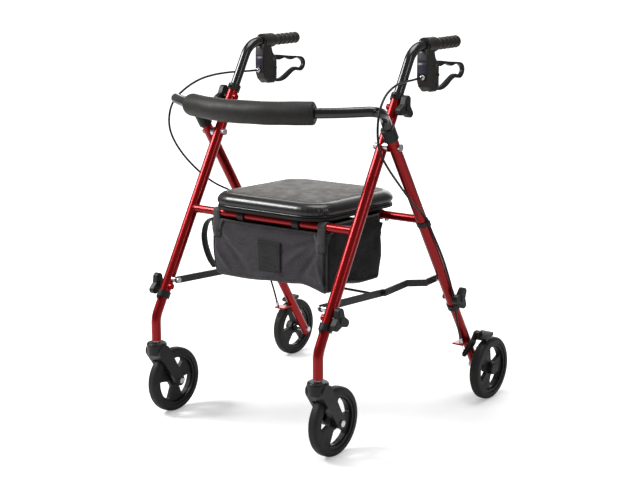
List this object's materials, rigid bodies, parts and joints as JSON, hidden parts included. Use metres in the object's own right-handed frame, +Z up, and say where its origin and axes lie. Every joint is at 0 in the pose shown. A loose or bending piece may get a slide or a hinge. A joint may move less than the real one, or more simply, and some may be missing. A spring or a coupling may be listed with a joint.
{
  "type": "rollator walker",
  "caption": "Folding wheeled walking frame with a lifting padded seat over a soft bag, a bowed padded backrest, height-adjustable handles and loop brakes.",
  "frame": {"origin": "on the floor under the middle of the bounding box", "axes": "+Z up, -Y forward, the way the user walks, +X to the user's left"},
  "size_m": [0.647, 0.6864, 0.8753],
  "materials": {
    "black_paint": "gloss",
    "foam": "matte",
    "black_plastic": "satin",
    "nylon": "matte",
    "cable": "satin",
    "blue_grey_plastic": "satin",
    "zinc": "satin",
    "red_paint": "gloss",
    "tyre": "matte",
    "grip_rubber": "matte",
    "seat_vinyl": "matte"
  },
  "bodies": {
    "frame": {"front_tube_left": "red_paint", "front_tube_right": "red_paint", "front_crossbar": "red_paint", "frame_bolts": "zinc", "tube_collars": "black_plastic", "bag": "nylon", "brake_cable_left": "cable", "brake_cable_right": "cable"},
    "rear_frame": {"rear_tube_left": "red_paint", "rear_tube_right": "red_paint", "rear_crossbar": "red_paint", "rear_leg_collars": "black_plastic", "backrest_sockets": "black_plastic", "backrest_bar": "black_paint", "backrest_pad": "foam", "cable_clips": "black_plastic", "rear_frame_bolts": "zinc"},
    "brace_front": {"brace_front_links": "black_paint", "brace_cross_rod": "black_paint"},
    "brace_rear": {"brace_rear_links": "black_paint"},
    "seat": {"seat_board": "black_plastic", "seat_cushion": "seat_vinyl"},
    "handle_left": {"handle_tube_left": "black_paint", "grip_left": "grip_rubber", "brake_housing_left": "blue_grey_plastic"},
    "brake_lever_left": {"brake_lever_left": "black_plastic"},
    "knob_handle_left": {"knob_handle_left": "black_plastic"},
    "knob_front_leg_left": {"knob_front_leg_left": "black_plastic"},
    "knob_rear_leg_left": {"knob_rear_leg_left": "black_plastic"},
    "front_leg_left": {"front_leg_left": "red_paint", "caster_stem_left": "zinc"},
    "caster_left": {"caster_fork_left": "black_plastic", "caster_axle_left": "zinc"},
    "front_wheel_left": {"front_tyre_left": "tyre", "front_hub_left": "black_plastic"},
    "rear_leg_left": {"rear_leg_left": "red_paint", "rear_leg_hardware_left": "zinc", "brake_spring_left": "zinc"},
    "rear_wheel_left": {"rear_tyre_left": "tyre", "rear_hub_left": "black_plastic"},
    "brake_arm_left": {"brake_arm_left": "black_paint"},
    "handle_right": {"handle_tube_right": "black_paint", "grip_right": "grip_rubber", "brake_housing_right": "blue_grey_plastic"},
    "brake_lever_right": {"brake_lever_right": "black_plastic"},
    "knob_handle_right": {"knob_handle_right": "black_plastic"},
    "knob_front_leg_right": {"knob_front_leg_right": "black_plastic"},
    "knob_rear_leg_right": {"knob_rear_leg_right": "black_plastic"},
    "front_leg_right": {"front_leg_right": "red_paint", "caster_stem_right": "zinc"},
    "caster_right": {"caster_fork_right": "black_plastic", "caster_axle_right": "zinc"},
    "front_wheel_right": {"front_tyre_right": "tyre", "front_hub_right": "black_plastic"},
    "rear_leg_right": {"rear_leg_right": "red_paint", "rear_leg_hardware_right": "zinc", "brake_spring_right": "zinc"},
    "rear_wheel_right": {"rear_tyre_right": "tyre", "rear_hub_right": "black_plastic"},
    "brake_arm_right": {"brake_arm_right": "black_paint"}
  },
  "joints": [
    {"name": "fold", "type": "hinge", "parent": "frame", "child": "rear_frame", "pos_m": [0, -0.09549, 0.64692], "axis": [-1, 0, 0], "range_deg": [0, 36], "deforming": ["bag", "brake_cable_left", "brake_cable_right"]},
    {"name": "front_brace_turn", "type": "hinge", "parent": "frame", "child": "brace_front", "pos_m": [0, -0.2739, 0.321], "axis": [-1, 0, 0], "range_deg": [0, 64.16]},
    {"name": "rear_brace_turn", "type": "hinge", "parent": "rear_frame", "child": "brace_rear", "pos_m": [0, 0.11215, 0.32], "axis": [1, 0, 0], "range_deg": [0, 99.21]},
    {"name": "seat_lift", "type": "hinge", "parent": "frame", "child": "seat", "pos_m": [0, -0.1896, 0.475], "axis": [1, 0, 0], "range_deg": [0, 78]},
    {"name": "handle_height_left", "type": "slide", "parent": "frame", "child": "handle_left", "axis": [0, 0.4802, 0.8772], "range_m": [-0.05, 0.075]},
    {"name": "brake_lever_left", "type": "hinge", "parent": "handle_left", "child": "brake_lever_left", "pos_m": [0.237, 0.088, 0.811], "axis": [1, 0, 0], "range_deg": [0, 12], "stiffness_Nm_per_rad": 3, "springref_deg": -5.73},
    {"name": "knob_handle_turn_left", "type": "hinge", "parent": "frame", "child": "knob_handle_left", "pos_m": [0.237, -0.05166, 0.727], "axis": [1, 0, 0], "continuous": true},
    {"name": "front_leg_height_left", "type": "slide", "parent": "frame", "child": "front_leg_left", "axis": [0, -0.4802, -0.8772], "range_m": [-0.025, 0.05]},
    {"name": "knob_front_leg_turn_left", "type": "hinge", "parent": "frame", "child": "knob_front_leg_left", "pos_m": [0.237, -0.28266, 0.305], "axis": [1, 0, 0], "continuous": true},
    {"name": "caster_swivel_left", "type": "hinge", "parent": "front_leg_left", "child": "caster_left", "pos_m": [0.237, -0.3196, 0.165], "axis": [0, 0, 1], "continuous": true},
    {"name": "front_wheel_spin_left", "type": "hinge", "parent": "caster_left", "child": "front_wheel_left", "pos_m": [0.237, -0.267, 0.0762], "axis": [1, 0, 0], "continuous": true},
    {"name": "rear_leg_height_left", "type": "slide", "parent": "rear_frame", "child": "rear_leg_left", "axis": [0, 0.5361, -0.8441], "range_m": [-0.025, 0.05]},
    {"name": "knob_rear_leg_turn_left", "type": "hinge", "parent": "rear_frame", "child": "knob_rear_leg_left", "pos_m": [0.269, 0.14264, 0.272], "axis": [1, 0, 0], "continuous": true},
    {"name": "rear_wheel_spin_left", "type": "hinge", "parent": "rear_leg_left", "child": "rear_wheel_left", "pos_m": [0.3065, 0.267, 0.0762], "axis": [1, 0, 0], "continuous": true},
    {"name": "brake_arm_left", "type": "hinge", "parent": "rear_leg_left", "child": "brake_arm_left", "pos_m": [0.269, 0.22076, 0.149], "axis": [-1, 0, 0], "range_deg": [0, 5.05], "deforming": ["brake_spring_left"]},
    {"name": "handle_height_right", "type": "slide", "parent": "frame", "child": "handle_right", "axis": [0, 0.4802, 0.8772], "range_m": [-0.05, 0.075]},
    {"name": "brake_lever_right", "type": "hinge", "parent": "handle_right", "child": "brake_lever_right", "pos_m": [-0.237, 0.088, 0.811], "axis": [1, 0, 0], "range_deg": [0, 12], "stiffness_Nm_per_rad": 3, "springref_deg": -5.73},
    {"name": "knob_handle_turn_right", "type": "hinge", "parent": "frame", "child": "knob_handle_right", "pos_m": [-0.237, -0.05166, 0.727], "axis": [1, 0, 0], "continuous": true},
    {"name": "front_leg_height_right", "type": "slide", "parent": "frame", "child": "front_leg_right", "axis": [0, -0.4802, -0.8772], "range_m": [-0.025, 0.05]},
    {"name": "knob_front_leg_turn_right", "type": "hinge", "parent": "frame", "child": "knob_front_leg_right", "pos_m": [-0.237, -0.28266, 0.305], "axis": [1, 0, 0], "continuous": true},
    {"name": "caster_swivel_right", "type": "hinge", "parent": "front_leg_right", "child": "caster_right", "pos_m": [-0.237, -0.3196, 0.165], "axis": [0, 0, 1], "continuous": true},
    {"name": "front_wheel_spin_right", "type": "hinge", "parent": "caster_right", "child": "front_wheel_right", "pos_m": [-0.237, -0.267, 0.0762], "axis": [1, 0, 0], "continuous": true},
    {"name": "rear_leg_height_right", "type": "slide", "parent": "rear_frame", "child": "rear_leg_right", "axis": [0, 0.5361, -0.8441], "range_m": [-0.025, 0.05]},
    {"name": "knob_rear_leg_turn_right", "type": "hinge", "parent": "rear_frame", "child": "knob_rear_leg_right", "pos_m": [-0.269, 0.14264, 0.272], "axis": [1, 0, 0], "continuous": true},
    {"name": "rear_wheel_spin_right", "type": "hinge", "parent": "rear_leg_right", "child": "rear_wheel_right", "pos_m": [-0.3065, 0.267, 0.0762], "axis": [1, 0, 0], "continuous": true},
    {"name": "brake_arm_right", "type": "hinge", "parent": "rear_leg_right", "child": "brake_arm_right", "pos_m": [-0.269, 0.22076, 0.149], "axis": [-1, 0, 0], "range_deg": [0, 5.05], "deforming": ["brake_spring_right"]}
  ],
  "couplings": [
    {"joint": "front_brace_turn", "follows": "fold", "ratio": 1.7794},
    {"joint": "rear_brace_turn", "follows": "fold", "ratio": 2.753},
    {"joint": "brake_arm_left", "follows": "brake_lever_left", "ratio": 0.4167},
    {"joint": "brake_arm_right", "follows": "brake_lever_right", "ratio": 0.4167}
  ]
}
